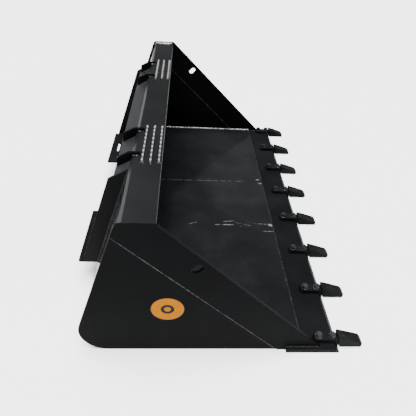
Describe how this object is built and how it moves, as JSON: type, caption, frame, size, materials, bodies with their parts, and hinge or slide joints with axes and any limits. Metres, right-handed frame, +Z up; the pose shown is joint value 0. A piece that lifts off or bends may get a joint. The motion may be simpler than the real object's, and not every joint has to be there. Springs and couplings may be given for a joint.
{
  "type": "skid steer bucket",
  "caption": "Welded loader bucket with side cutters, bolt-on teeth, steps on a folded top beam and a quick-attach mount with hook and slotted lower flanges.",
  "frame": {"origin": "middle of the footprint on the ground, under the cutting edge and wear bars", "axes": "+X to the operator's left along the bucket's width, teeth point to -Y, +Z up; the machine stands on the +Y side"},
  "size_m": [1.857, 1.164, 0.6265],
  "materials": {
    "paint": "satin black paint over rolled steel",
    "edge": "satin black paint, lightly scuffed",
    "tooth": "satin black paint on cast steel",
    "hardware": "zinc plated washers under black overspray; bolts, nuts and pins painted black",
    "badge": "smooth amber disc with a dark rim"
  },
  "bodies": {
    "root": {"badge_left": "badge", "badge_right": "badge", "bucket_shell": "paint", "cutting_edge": "edge", "flange_brace_1": "paint", "flange_brace_2": "paint", "flange_brace_3": "paint", "flange_brace_4": "paint", "grip_bar_left_1": "paint", "grip_bar_left_2": "paint", "grip_bar_left_3": "paint", "grip_bar_right_1": "paint", "grip_bar_right_2": "paint", "grip_bar_right_3": "paint", "hook_plate": "paint", "lower_flange_left": "paint", "lower_flange_right": "paint", "mount_gusset_left": "paint", "mount_gusset_right": "paint", "side_cutter_left": "paint", "side_cutter_right": "paint", "side_plate_left": "paint", "side_plate_right": "paint", "tooth_bolts": "hardware", "tooth_flex_pins": "hardware", "tooth_nuts": "hardware", "tooth_point_1": "tooth", "tooth_point_2": "tooth", "tooth_point_3": "tooth", "tooth_point_4": "tooth", "tooth_point_5": "tooth", "tooth_point_6": "tooth", "tooth_point_7": "tooth", "tooth_point_8": "tooth", "tooth_shank_1": "tooth", "tooth_shank_2": "tooth", "tooth_shank_3": "tooth", "tooth_shank_4": "tooth", "tooth_shank_5": "tooth", "tooth_shank_6": "tooth", "tooth_shank_7": "tooth", "tooth_shank_8": "tooth", "tooth_washers": "hardware", "top_beam": "paint", "top_rib_left_inner": "paint", "top_rib_left_outer": "paint", "top_rib_right_inner": "paint", "top_rib_right_outer": "paint", "wear_bar_1": "edge", "wear_bar_2": "edge", "wear_bar_3": "edge", "wear_bar_4": "edge"}
  },
  "joints": []
}
